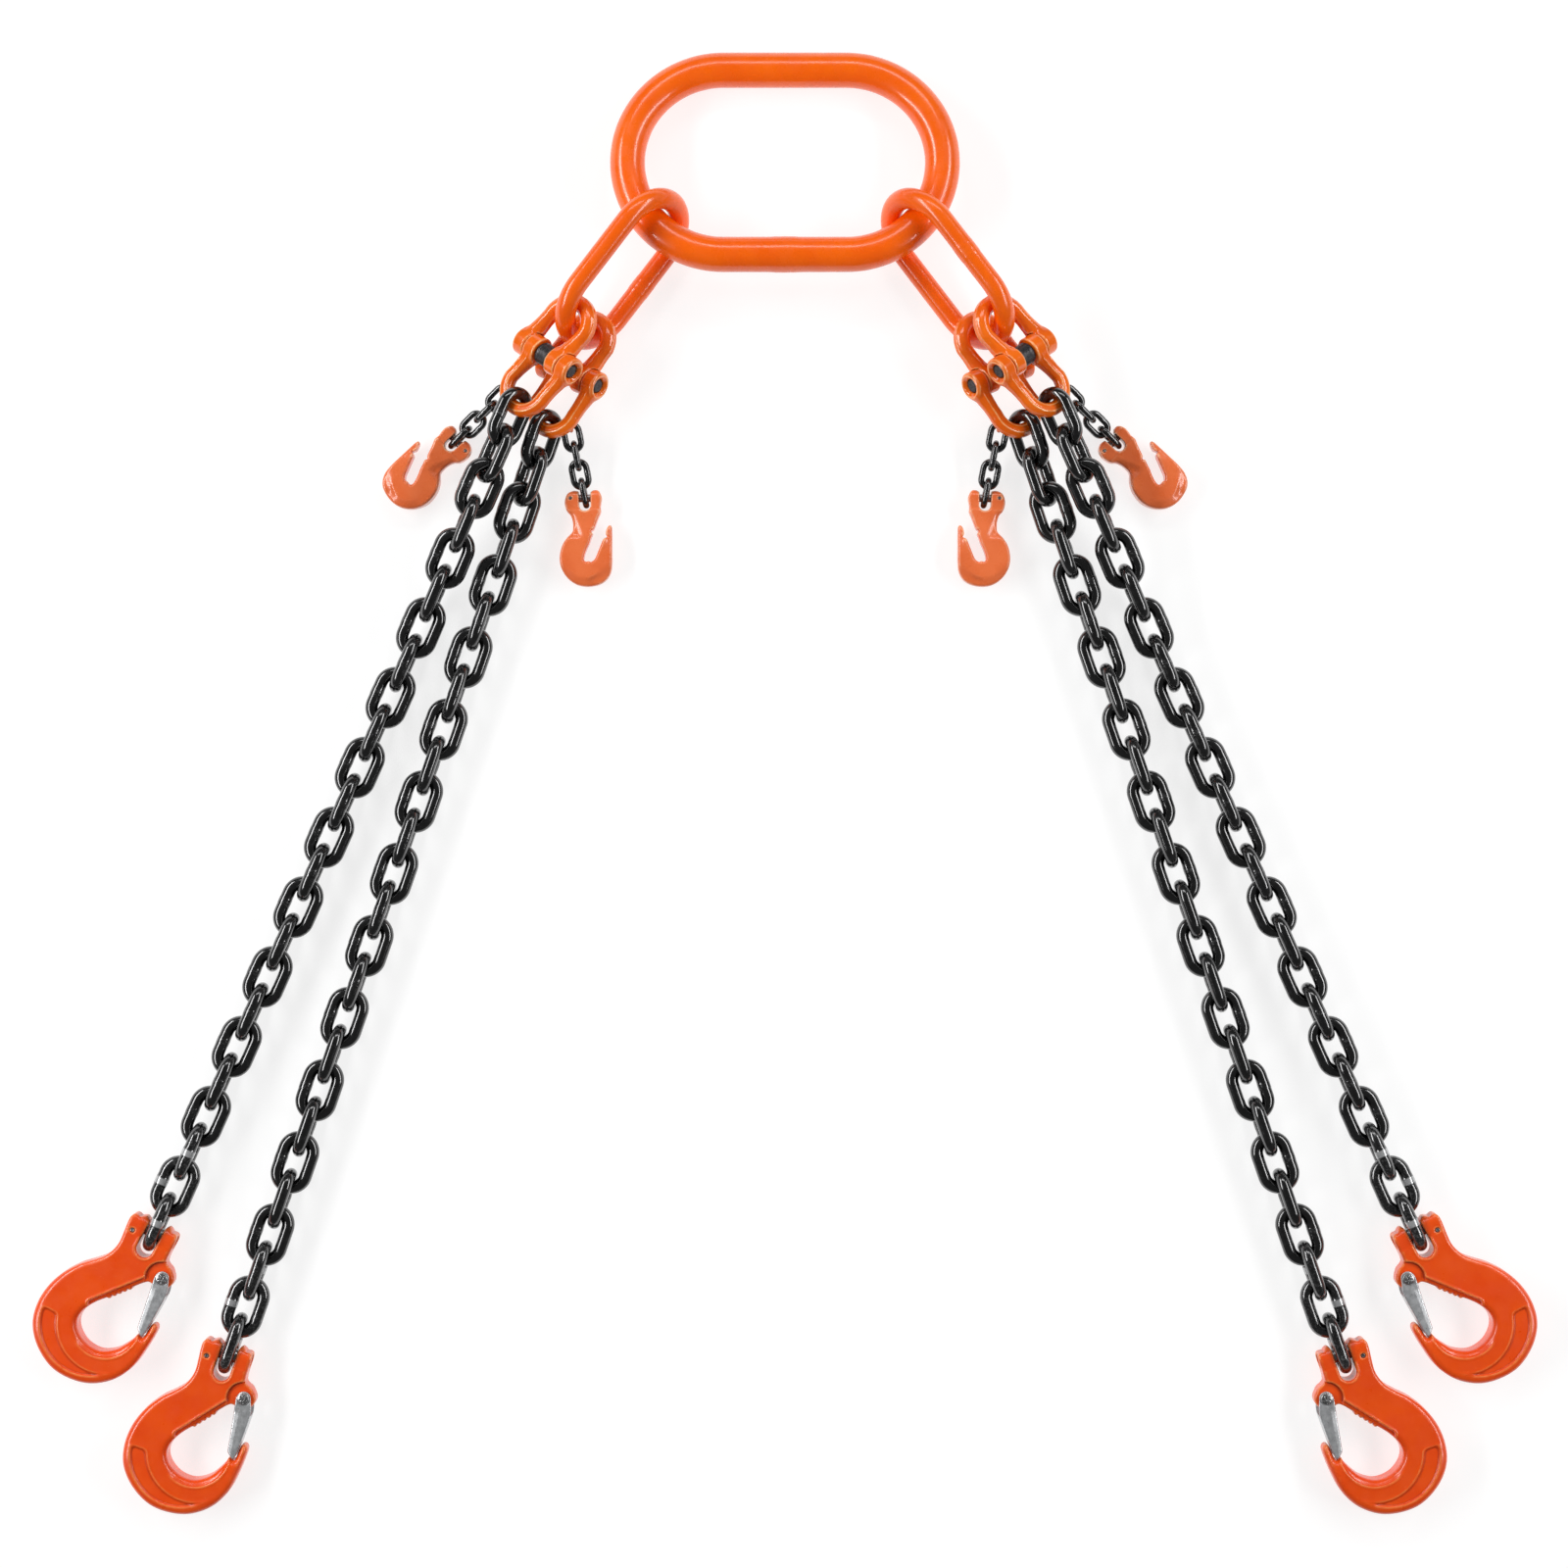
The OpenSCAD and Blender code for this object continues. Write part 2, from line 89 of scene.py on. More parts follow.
def grab_pose(leg):
    """The outer legs' grab hooks lie the other way up, with the tip on the left."""
    origin, tilt = joint_at(f"grab_hook_{leg}_tilt")
    side = side_of(leg)
    x = -side * tilt
    y = side * np.cross(UP, x)
    flip = -1 if leg in OUTER_LEGS else 1
    return origin, np.column_stack([flip * x, y, UP])


def flipped(pose, x=1, y=1):
    return pose[0], pose[1] * np.array([x, y, 1])


def solids(node):
    """The pose of each solid in a CAD node, by its inertia: Y along it, X across it, and Z through it."""
    mesh = frame["nodes"][node].data
    points = np.array([v.co for v in mesh.vertices], float)
    mesh.calc_loop_triangles()
    corners = np.array([t.vertices for t in mesh.loop_triangles])
    points, index = np.unique(np.round(points, 6), axis=0, return_inverse=True)
    corners = index.reshape(-1)[corners]
    label = np.arange(len(points))
    while True:
        lower = label.copy()
        least = label[corners].min(1)
        for k in range(3):
            np.minimum.at(lower, corners[:, k], least)
        lower = lower[lower]
        if (lower == label).all():
            break
        label = lower
    poses = []
    for solid in np.unique(label[corners]):
        a, b, c = points[corners[label[corners[:, 0]] == solid]].transpose(1, 0, 2)
        middle = a.mean(0)
        a, b, c = a - middle, b - middle, c - middle
        volume = np.einsum("ij,ij->i", a, np.cross(b, c)) / 6
        total = a + b + c
        centroid = (volume[:, None] * total).sum(0) / 4 / volume.sum()
        second = sum(np.einsum("i,ij,ik->jk", volume, v, v) for v in (a, b, c, total)) / 20 / volume.sum()
        axes = np.linalg.eigh(second - np.outer(centroid, centroid))[1]
        y, z = axes[:, 2], axes[:, 0]
        y = y * (1 if y[1] > 0 else -1)
        z = z * (1 if z[2] > 0 else -1)
        poses.append((middle + centroid, np.column_stack([np.cross(y, z), y, z])))
    return sorted(poses, key=lambda pose: -pose[0][1])


# ---- meshes ----
def spline(points, steps=6):
    """A closed smooth outline through the points."""
    p = np.array(points, float)
    before, after, later = np.roll(p, 1, 0), np.roll(p, -1, 0), np.roll(p, -2, 0)
    rows = []
    for t in np.arange(steps) / steps:
        rows.append(
            0.5 * (2 * p + (after - before) * t + (2 * before - 5 * p + 4 * after - later) * t**2
                   + (3 * p - before - 3 * after + later) * t**3)
        )
    return np.stack(rows, 1).reshape(-1, 2)


def polygon(x, y, points):
    """Signed distance to a closed outline, negative inside."""
    x, y = np.broadcast_arrays(x, y)
    nearest = np.full(x.shape, 1e9)
    inside = np.zeros(x.shape, bool)
    for (ax, ay), (bx, by) in zip(points, np.roll(points, -1, 0)):
        ex, ey = bx - ax, by - ay
        wx, wy = x - ax, y - ay
        t = np.clip((wx * ex + wy * ey) / (ex * ex + ey * ey), 0, 1)
        nearest = np.minimum(nearest, (wx - ex * t) ** 2 + (wy - ey * t) ** 2)
        if ay != by:
            inside ^= ((ay > y) != (by > y)) & (wx < ex * (y - ay) / (by - ay))
    return np.where(inside, -1, 1) * np.sqrt(nearest)


def segment(x, y, a, b):
    """Distance to a straight line from a to b."""
    ex, ey = b[0] - a[0], b[1] - a[1]
    t = np.clip(((x - a[0]) * ex + (y - a[1]) * ey) / (ex * ex + ey * ey), 0, 1)
    return np.hypot(x - a[0] - ex * t, y - a[1] - ey * t)


def ramp(v, start, end):
    """0 before start, 1 after end, and smooth between."""
    t = np.clip((v - start) / (end - start), 0, 1)
    return t * t * (3 - 2 * t)


def ridge(v, at, width):
    return np.exp(-(((v - at) / width) ** 2))


def join(a, b, blend):
    """Union of two distance fields with a fillet."""
    h = np.clip(0.5 + 0.5 * (b - a) / blend, 0, 1)
    return b + (a - b) * h - blend * h * (1 - h)


def cut(a, b, blend):
    """a without b, with a rounded edge."""
    return -join(-a, b, blend)


def plate(flat, z, half, edge):
    """An outline made solid, with rounded edges."""
    u, v = flat + edge, np.abs(z) - half + edge
    return np.minimum(np.maximum(u, v), 0) + np.hypot(np.maximum(u, 0), np.maximum(v, 0)) - edge


def from_point(x, y, point):
    return np.hypot(x - point[0], y - point[1])


def sunk(distance, start, end):
    """1 inside an outline, 0 outside it, and smooth between two distances from it."""
    return 1 - ramp(distance, start, end)


def clevis_slot(x, y, half, floor):
    """A slot open towards +Y with a round floor."""
    return np.where(y > floor + half, np.abs(x), np.hypot(x, y - floor - half)) - half


def outside_ears(y, z, radius, lowest):
    """What is cut away to round the clevis ears about the pin."""
    ears = np.where(y > 0, np.hypot(y, z), np.abs(z)) - radius
    return np.maximum(-ears, lowest - y)


def net(shape, low, high, step):
    """Quads on the surface of a shape, which is a function of x, y and z that is negative inside."""
    x, y, z = (np.arange(a - 2 * step, b + 3 * step, step) for a, b in zip(low, high))
    field = np.broadcast_to(
        shape(x[:, None, None], y[None, :, None], z[None, None, :]), (len(x), len(y), len(z))
    )
    inside = field < 0
    count = sum(
        inside[i:i - 1 or None, j:j - 1 or None, k:k - 1 or None].astype(int)
        for i in (0, 1) for j in (0, 1) for k in (0, 1)
    )
    cells = np.argwhere((count > 0) & (count < 8))
    number = np.full(count.shape, -1)
    number[tuple(cells.T)] = np.arange(len(cells))
    total, crossings = np.zeros((len(cells), 3)), np.zeros(len(cells))
    quads = []
    for axis in range(3):
        along, u, v = np.eye(3, dtype=int)[[axis, (axis + 1) % 3, (axis + 2) % 3]]
        for du in (0, 1):
            for dv in (0, 1):
                start = cells + du * u + dv * v
                a, b = field[tuple(start.T)], field[tuple((start + along).T)]
                crossed = (a < 0) != (b < 0)
                t = a[crossed] / (a[crossed] - b[crossed])
                total[crossed] += start[crossed] + t[:, None] * along
                crossings[crossed] += 1
        near, far = [slice(None)] * 3, [slice(None)] * 3
        near[axis], far[axis] = slice(None, -1), slice(1, None)
        edges = np.argwhere(inside[tuple(near)] != inside[tuple(far)])
        ring = np.stack([number[tuple((edges - s).T)] for s in (u + v, v, 0 * u, u)], 1)
        outward = inside[tuple(edges.T)]
        quads.append(np.where(outward[:, None], ring, ring[:, ::-1]))
    points = np.array([x[0], y[0], z[0]]) + step * total / crossings[:, None]
    for _ in range(2):
        here = shape(*points.T)
        slope = np.stack([
            shape(*(points + d).T) - shape(*(points - d).T) for d in np.eye(3) * step / 4
        ], 1) / (step / 2)
        move = here[:, None] * slope / np.maximum((slope**2).sum(1), 0.3)[:, None]
        points = points - np.clip(move, -step / 2, step / 2)
    return points, np.concatenate(quads)


def edge_share(points, quads, step):
    """How sharply the surface bends at each point: above 0 on outer edges and below 0 in hollows."""
    near = np.zeros_like(points)
    count = np.zeros(len(points))
    for a, b in ((0, 1), (1, 2), (2, 3), (3, 0)):
        for p, q in ((a, b), (b, a)):
            np.add.at(near, quads[:, p], points[quads[:, q]])
            np.add.at(count, quads[:, p], 1)
    face = np.cross(points[quads[:, 2]] - points[quads[:, 0]], points[quads[:, 3]] - points[quads[:, 1]])
    normal = np.zeros_like(points)
    for k in range(4):
        np.add.at(normal, quads[:, k], face)
    normal /= np.maximum(np.linalg.norm(normal, axis=1), 1e-9)[:, None]
    bend = ((points - near / count[:, None]) * normal).sum(1) / step
    for _ in range(2):
        spread, weight = bend.copy(), np.ones(len(points))
        for a, b in ((0, 1), (1, 2), (2, 3), (3, 0)):
            np.add.at(spread, quads[:, a], bend[quads[:, b]])
            np.add.at(weight, quads[:, a], 1)
        bend = spread / weight
    return np.clip(bend * 7, -1, 1)


def oblong(straight, radius, at):
    """Points and outward directions on a closed oblong, at distances from the middle of its right side."""
    half, arc = straight / 2, math.pi * radius
    at = at % (2 * straight + 2 * arc)
    on_top, on_left = half + arc, half + arc + straight
    stretches = [at < half, at < on_top, at < on_left, at < on_left + arc]
    angle = np.select(stretches, [0 * at, (at - half) / radius, 0 * at + math.pi,
                                  math.pi + (at - on_left) / radius], 0)
    y = np.select(stretches,
                  [at, 0 * at + half, half - (at - on_top), 0 * at - half], at - on_left - arc - half)
    out = np.stack([np.cos(angle), np.sin(angle)], 1)
    return np.stack([radius * out[:, 0], y + radius * out[:, 1]], 1), out


def bar_loop(straight, radius, bar, rings, sides, weld=0.0, bead=2.2):
    """A closed link of round bar, with a weld on its right side. The third result is 1 at the weld."""
    length = 2 * straight + 2 * math.pi * radius
    at = np.arange(rings) * length / rings
    if weld:
        at = np.unique(np.round(np.concatenate([at, np.arange(-2, 2.1, 0.25) * bead % length]), 4))
    path, out = oblong(straight, radius, at)
    away = np.minimum(at, length - at)
    swell = weld * (ridge(away, 0, bead) + 0.45 * ridge(away, bead * 0.85, bead * 0.2))
    r = bar / 2 * (1 + swell)
    turn = np.arange(sides) * 2 * math.pi / sides
    across = r[:, None] * np.cos(turn)
    points = np.stack([
        path[:, 0, None] + out[:, 0, None] * across,
        path[:, 1, None] + out[:, 1, None] * across,
        r[:, None] * np.sin(turn) * np.ones_like(across),
    ], 2).reshape(-1, 3)
    i, j = np.meshgrid(np.arange(len(at)), np.arange(sides), indexing="ij")
    k, m = (i + 1) % len(at), (j + 1) % sides
    quads = np.stack([i * sides + j, k * sides + j, k * sides + m, i * sides + m], 2).reshape(-1, 4)
    return points, quads, np.repeat(ridge(away, 0, bead * 1.3), sides)


def turned_piece(profile, sides=48):
    """A solid of revolution about X. The profile runs from its left end to its right end."""
    turn = np.arange(sides) * 2 * math.pi / sides
    points = [(profile[0][0], 0, 0)]
    for x, r in profile:
        points += [(x, r * math.cos(a), r * math.sin(a)) for a in turn]
    points.append((profile[-1][0], 0, 0))
    faces = []
    last_ring = 1 + (len(profile) - 1) * sides
    for j in range(sides):
        m = (j + 1) % sides
        faces.append((0, 1 + m, 1 + j))
        for ring in range(len(profile) - 1):
            a, b = 1 + ring * sides, 1 + (ring + 1) * sides
            faces.append((a + j, a + m, b + m, b + j))
        faces.append((len(points) - 1, last_ring + j, last_ring + m))
    return np.array(points, float), faces


def upright(shape, place):
    """A turned piece stood on end at a place, along Z instead of X."""
    return shape[0][:, [2, 1, 0]] * [-1, 1, 1] + [*place, 0], shape[1]


def piece(name, parts, body, look, slot, stands_for=(), **shares):
    """Adds one object. parts lists (points in mm, faces, pose), and a share has a number for each point."""
    points, faces = [], []
    first = 0
    for local, local_faces, (origin, axes) in parts:
        mirrored = np.linalg.det(axes) < 0
        points.append(origin + (local * MM) @ axes.T)
        if isinstance(local_faces, np.ndarray):
            local_faces = local_faces.tolist()
        for face in local_faces:
            face = [first + k for k in face]
            faces.append(face[::-1] if mirrored else face)
        first += len(local)
    mesh = bpy.data.meshes.new(name)
    mesh.from_pydata(np.concatenate(points).tolist(), [], faces)
    mesh.polygons.foreach_set("use_smooth", [True] * len(mesh.polygons))
    for share, values in shares.items():
        attribute = mesh.attributes.new(share, "FLOAT", "POINT")
        attribute.data.foreach_set("value", np.asarray(values, np.float32))
    mesh.materials.append(look)
    obj = bpy.data.objects.new(name, mesh)
    bpy.context.scene.collection.objects.link(obj)
    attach(obj, body)
    if stands_for:
        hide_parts(*stands_for)
    return obj


# ---- materials ----
def srgb(r, g, b):
    values = [v / 255 for v in (r, g, b)]
    return [v / 12.92 if v <= 0.04045 else ((v + 0.055) / 1.055) ** 2.4 for v in values] + [1.0]


class Look:
    """A small helper for building one node material."""

    def __init__(self, name):
        self.material = bpy.data.materials.new(name)
        self.material.use_nodes = True
        self.nodes = self.material.node_tree.nodes
        self.links = self.material.node_tree.links
        self.shader = self.nodes["Principled BSDF"]
        self.place = self.nodes.new("ShaderNodeTexCoord").outputs["Object"]

    def set(self, **sockets):
        for name, value in sockets.items():
            self.shader.inputs[name.replace("_", " ")].default_value = value

    def noise(self, scale, detail=3.0, rough=0.55, stretch=None):
        node = self.nodes.new("ShaderNodeTexNoise")
        node.inputs["Scale"].default_value = scale
        node.inputs["Detail"].default_value = detail
        node.inputs["Roughness"].default_value = rough
        source = self.place
        if stretch:
            mapping = self.nodes.new("ShaderNodeMapping")
            mapping.inputs["Scale"].default_value = stretch
            self.links.new(source, mapping.inputs["Vector"])
            source = mapping.outputs["Vector"]
        self.links.new(source, node.inputs["Vector"])
        return node.outputs["Fac"]

    def share(self, name):
        node = self.nodes.new("ShaderNodeAttribute")
        node.attribute_name = name
        return node.outputs["Fac"]

    def span(self, value, low, high, to_low=0.0, to_high=1.0):
        node = self.nodes.new("ShaderNodeMapRange")
        node.interpolation_type = "SMOOTHSTEP"
        self.links.new(value, node.inputs["Value"])
        limits = {"From Min": low, "From Max": high, "To Min": to_low, "To Max": to_high}
        for socket, number in limits.items():
            node.inputs[socket].default_value = number
        return node.outputs["Result"]

    def math(self, kind, a, b):
        node = self.nodes.new("ShaderNodeMath")
        node.operation = kind
        for socket, value in zip(node.inputs, (a, b)):
            if isinstance(value, (int, float)):
                socket.default_value = value
            else:
                self.links.new(value, socket)
        return node.outputs[0]

    def mix(self, factor, a, b):
        node = self.nodes.new("ShaderNodeMix")
        node.data_type = "RGBA"
        self.links.new(factor, node.inputs[0])
        for socket, value in ((node.inputs[6], a), (node.inputs[7], b)):
            if isinstance(value, list):
                socket.default_value = value
            else:
                self.links.new(value, socket)
        return node.outputs[2]

    def colour(self, value):
        self.links.new(value, self.shader.inputs["Base Color"])

    def roughness(self, value):
        self.links.new(value, self.shader.inputs["Roughness"])

    def bump(self, height, strength, distance):
        node = self.nodes.new("ShaderNodeBump")
        node.inputs["Strength"].default_value = strength
        node.inputs["Distance"].default_value = distance
        self.links.new(height, node.inputs["Height"])
        previous = self.shader.inputs["Normal"]
        if previous.is_linked:
            self.links.new(previous.links[0].from_socket, node.inputs["Normal"])
        self.links.new(node.outputs["Normal"], previous)


def paint(name, body, deep, light, gloss=0.3, peel=0.05):
    """Powder coat with a fine orange peel, paler over outer edges, partly as edge wear and partly as a
    painted highlight, and darker in hollows as painted shade.
    """
    look = Look(name)
    edge = look.share("edge")
    cloudy = look.span(look.noise(45, 4), 0.32, 0.7)
    colour = look.mix(cloudy, deep, body)
    # painted shade: hollows, where the edge share is below 0, darken towards 0.45 of the deep tone
    colour = look.mix(look.span(edge, -0.7, -0.12, 0.85, 0.0), colour, [0.45 * v for v in deep[:3]] + [1.0])
    # outer edges pale towards the light tone, patchy with noise: partly edge wear and partly a painted
    # highlight
    edge_wear_and_highlight = look.math("MULTIPLY", look.span(edge, 0.12, 0.75),
                     look.span(look.noise(260, 3), 0.3, 0.62, 0.45, 1.0))
    colour = look.mix(edge_wear_and_highlight, colour, light)
    dust = look.span(look.noise(900, 2), 0.66, 0.78, 0.0, 0.35)
    look.colour(look.mix(dust, colour, light))
    look.roughness(look.span(look.noise(120, 4), 0.25, 0.75, gloss - 0.07, gloss + 0.1))
    look.set(Metallic=0.0, IOR=1.45, Coat_Weight=0.5, Coat_Roughness=0.6 * gloss - 0.03)
    look.bump(look.noise(1500, 2), peel, 0.00012)
    look.bump(look.noise(170, 3), 0.08, 0.0003)
    return look.material


def black_chain(name):
    """Blackened, oiled alloy steel: black on the flanks, and bare grey where the bare share says so."""
    look = Look(name)
    bare = look.share("bare")
    scale = look.span(look.noise(380, 5, 0.6), 0.42, 0.66)
    colour = look.mix(scale, srgb(14, 14, 15), srgb(34, 34, 36))
    flecks = look.span(look.noise(700, 4, 0.65), 0.5, 0.62)
    shown = look.math("MULTIPLY", bare, look.math("MAXIMUM", flecks, look.math("POWER", bare, 2.0)))
    look.colour(look.mix(shown, colour, srgb(176, 177, 178)))
    look.links.new(look.span(shown, 0, 1, 0.8, 0.3), look.shader.inputs["Metallic"])
    look.roughness(look.span(look.noise(240, 4), 0.3, 0.7, 0.2, 0.36))
    look.set(IOR=1.6, Coat_Weight=1.0, Coat_Roughness=0.13, Coat_IOR=1.8)
    look.bump(look.noise(900, 4, 0.6), 0.22, 0.00015)
    look.bump(look.noise(160, 3), 0.3, 0.0004)
    return look.material


def steel(name, dark, light, rough, grain, metallic=0.95):
    """Machined or rolled steel with a drawn grain along one axis."""
    look = Look(name)
    streaks = look.noise(240, 4, 0.5, stretch=grain)
    stain = look.noise(420, 4)
    colour = look.mix(look.span(streaks, 0.3, 0.7), dark, light)
    look.colour(look.mix(look.span(stain, 0.58, 0.82, 0.0, 0.35), colour, dark))
    look.roughness(look.span(look.noise(300, 3), 0.3, 0.7, rough - 0.08, rough + 0.1))
    look.set(Metallic=metallic, IOR=1.6)
    look.bump(streaks, 0.06, 0.0001)
    look.bump(look.noise(1100, 3), 0.08, 0.0001)
    return look.material


MASTER_PAINT = paint("master_paint", srgb(255, 106, 0), srgb(250, 98, 0), srgb(255, 150, 72), 0.26, 0.02)
COUPLING_PAINT = paint("coupling_paint", srgb(252, 116, 16), srgb(238, 98, 6), srgb(255, 190, 120),
                       0.17, 0.05)
HOOK_PAINT = paint("hook_paint", srgb(246, 84, 6), srgb(240, 74, 2), srgb(250, 134, 66), 0.33, 0.05)
GRAB_PAINT = paint("grab_paint", srgb(244, 122, 68), srgb(234, 108, 54), srgb(255, 186, 142), 0.3, 0.05)
CHAIN_BLACK = black_chain("blackened_steel")
PIN_DARK = steel("dark_pin", srgb(44, 42, 44), srgb(92, 90, 92), 0.4, (14, 1, 14), 0.85)
PIN_BRIGHT = steel("bright_pin_steel", srgb(120, 120, 122), srgb(205, 205, 205), 0.3, (14, 1, 14))
ZINC = steel("zinc_latch", srgb(186, 188, 190), srgb(206, 208, 210), 0.34, (2, 1, 2), 0.6)


# ---- master link and intermediate links ----
MASTER = dict(straight=77.0, radius=60.25, bar=22.0)
INTERMEDIATE = dict(straight=49.0, radius=27.5, bar=13.0)

points, quads, weld = bar_loop(**MASTER, rings=220, sides=48, weld=0.03, bead=7.0)
piece("master_link_bar", [(points, quads, solids("master_link")[0])], "master_link", MASTER_PAINT,
      "master_orange", ["master_link"], edge=0.2 * weld)
points, quads, weld = bar_loop(**INTERMEDIATE, rings=160, sides=36, weld=0.04, bead=4.5)
for side in ("left", "right"):
    piece(f"link_{side}_bar", [(points, quads, solids(f"link_{side}")[0])], f"link_{side}", MASTER_PAINT,
          "master_orange", [f"link_{side}"], edge=0.2 * weld)

# ---- chains ----
CHAIN = dict(straight=13.9, radius=9.2, bar=8.0)
SMALL = dict(straight=6.9, radius=4.7, bar=4.0)
WORN_LINKS = 3

link = bar_loop(**CHAIN, rings=72, sides=22, weld=0.05, bead=2.0)
worn_link = bar_loop(**CHAIN, rings=72, sides=22, weld=0.09, bead=2.4)
for leg in LEGS:
    for part in ("upper", "middle", "lower"):
        node = f"leg_{leg}_chain_{part}"
        poses = solids(node)
        shapes, bare = [], []
        for place, pose in enumerate(poses):
            last = part == "lower" and len(poses) - place <= WORN_LINKS
            points, quads, weld = worn_link if last else link
            shapes.append((points, quads, flipped(pose, x=-side_of(leg))))
            near_hook = (len(poses) - place == 1) * ramp(points[:, 1], 4, -10)
            wear = np.clip(ramp(weld, 0.5, 0.65) + 0.22 + 0.2 * near_hook, 0, 1)
            bare.append(wear if last else 0.3 * weld)
        piece(f"{node}_links", shapes, node, CHAIN_BLACK, "blackened_chain", [node],
              bare=np.concatenate(bare))

small_link = bar_loop(**SMALL, rings=56, sides=16, weld=0.07, bead=1.2)
for leg in LEGS:
    node = f"short_chain_{leg}"
    shapes = [(small_link[0], small_link[1], pose) for pose in solids(node)]
    piece(f"{node}_links", shapes, node, CHAIN_BLACK, "blackened_chain", [node],
          bare=np.tile(0.3 * small_link[2] + 0.08, len(shapes)))

# ---- coupling links ----
CROWN_RADIUS = 15.0
CROWN_BAR = dict(upper=9.5, lower=8.8)
SHOULDER = 23.0
KNUCKLE_RADIUS = 9.0
OUTER_KNUCKLE = (14.5, 23.5)
INNER_KNUCKLE = (-14.0, -5.5)
KNUCKLE_BASE = 3.0
COUPLING_PIN_RADIUS = 4.5
COUPLING_STEP = 0.55
PLAY = 0.4
# the other half's inner knuckle and the sleeve fill the gap between this half's knuckles
GAP_MIDDLE, GAP_HALF = 4.5, 9.8
SLEEVE_HALF, SLEEVE_RADIUS, SLEEVE_GROOVE = 5.0, 7.0, 0.45
EYE = dict(straight=0.0, radius=4.1, bar=3.0)


def knuckle(x, across, span, radius, edge):
    """A cylinder along X with rounded ends. across is the distance from the pin's axis."""
    middle, half = sum(span) / 2, (span[1] - span[0]) / 2
    return plate(across - radius, x - middle, half, edge)


def coupling_half(bar, ridged):
    """Crown upwards, outer knuckle on the right and inner knuckle on the left."""

    def shape(x, y, z):
        across = np.hypot(y, z)
        crown = np.where(y > SHOULDER, np.abs(np.hypot(x, y - SHOULDER) - CROWN_RADIUS), 1e3)
        right = segment(x, y, (CROWN_RADIUS, SHOULDER), (sum(OUTER_KNUCKLE) / 2, KNUCKLE_BASE))
        left = segment(x, y, (-CROWN_RADIUS, SHOULDER), (sum(INNER_KNUCKLE) / 2, KNUCKLE_BASE))
        off = np.minimum(np.minimum(crown, right), left)
        swell = 0.9 * (1 - ramp(y, 7, 19))
        # forged bars are a little flat on the faces, with two fine ridges along them or one on the flank
        arms = join(np.hypot(off, z) - bar / 2 - swell, np.hypot(off, 0.92 * z) - bar / 2 - swell, 0.5)
        if ridged:
            arms = arms - 0.45 * ridge(off, 2.1, 0.55) * ramp(np.abs(z), 1.5, 3)
        else:
            arms = arms - 0.4 * ridge(np.abs(z), 1.6, 0.5) * ramp(off, 1.5, 3)
        others = np.minimum(
            np.maximum(across - KNUCKLE_RADIUS - PLAY, x + OUTER_KNUCKLE[0] - PLAY / 2),
            np.maximum(across - KNUCKLE_RADIUS - PLAY, np.abs(x - GAP_MIDDLE) - GAP_HALF),
        )
        arms = cut(arms, others, 0.5)
        ends = np.minimum(
            knuckle(x, across, OUTER_KNUCKLE, KNUCKLE_RADIUS, 1.4),
            knuckle(x, across, INNER_KNUCKLE, KNUCKLE_RADIUS, 0.8),
        )
        ends = ends - 0.35 * ridge(across, 7.2, 0.6) * ramp(x, 22.5, 23.2)
        whole = join(arms, ends, 2.4)
        # the bore is countersunk at the outer end
        bore = across - COUPLING_PIN_RADIUS - 0.1 - np.clip(x - 21.9, 0, 3) * 0.9
        return cut(whole, bore, 0.4)

    return net(shape, (-21, -10, -10), (25, 44, 10), COUPLING_STEP)


upper_shape = coupling_half(CROWN_BAR["upper"], False)
lower_shape = coupling_half(CROWN_BAR["lower"], True)
pin_end = OUTER_KNUCKLE[1] - 1.2
pin_shape = turned_piece([(-pin_end, 1.6), (-pin_end, 3.2), (-pin_end + 0.8, 4.4),
                          (-pin_end + 1.6, COUPLING_PIN_RADIUS), (pin_end - 1.6, COUPLING_PIN_RADIUS),
                          (pin_end - 0.8, 4.4), (pin_end, 3.2), (pin_end - 0.5, 1.6)])
sleeve_profile = [(-SLEEVE_HALF, 4.8), (-SLEEVE_HALF, 6.4), (-4.5, SLEEVE_RADIUS)]
sleeve_profile += [(x, SLEEVE_RADIUS - SLEEVE_GROOVE * (k % 2))
                   for k, x in enumerate(np.arange(-3.6, 3.7, 0.9))]
sleeve_profile += [(4.5, SLEEVE_RADIUS), (SLEEVE_HALF, 6.4), (SLEEVE_HALF, 4.8)]
sleeve_shape = turned_piece(sleeve_profile)
eye_points, eye_quads, _ = bar_loop(**EYE, rings=64, sides=20)
upper_edge, lower_edge = (edge_share(*shape, COUPLING_STEP) for shape in (upper_shape, lower_shape))

for leg in LEGS:
    pose = coupling_pose(leg)
    name = f"coupling_{leg}"
    piece(f"{name}_upper_forging", [(*upper_shape, flipped(pose, x=-1))], f"{name}_upper", COUPLING_PAINT,
          "coupling_orange", [f"{name}_upper_half"], edge=upper_edge)
    piece(f"{name}_lower_forging", [(*lower_shape, flipped(pose, y=-1))], f"{name}_lower", COUPLING_PAINT,
          "coupling_orange", [f"{name}_lower_half"], edge=lower_edge)
    piece(f"{name}_pin_bar", [(*pin_shape, pose)], f"{name}_lower", PIN_DARK, "dark_pin_steel",
          [f"{name}_pin"])
    piece(f"{name}_sleeve_bush", [(*sleeve_shape, pose)], f"{name}_lower", PIN_DARK, "dark_pin_steel",
          [f"{name}_sleeve"])
    eye = joint_at(f"short_chain_{leg}_swing")[0]
    away = unit(solids(f"short_chain_{leg}")[0][0] - eye)
    across = unit(np.cross(away, UP))
    eye_pose = eye, np.column_stack([away, np.cross(across, away), across])
    piece(f"{name}_eye_ring", [(eye_points, eye_quads, eye_pose)], f"{name}_lower", COUPLING_PAINT,
          "coupling_orange", edge=np.zeros(len(eye_points)))

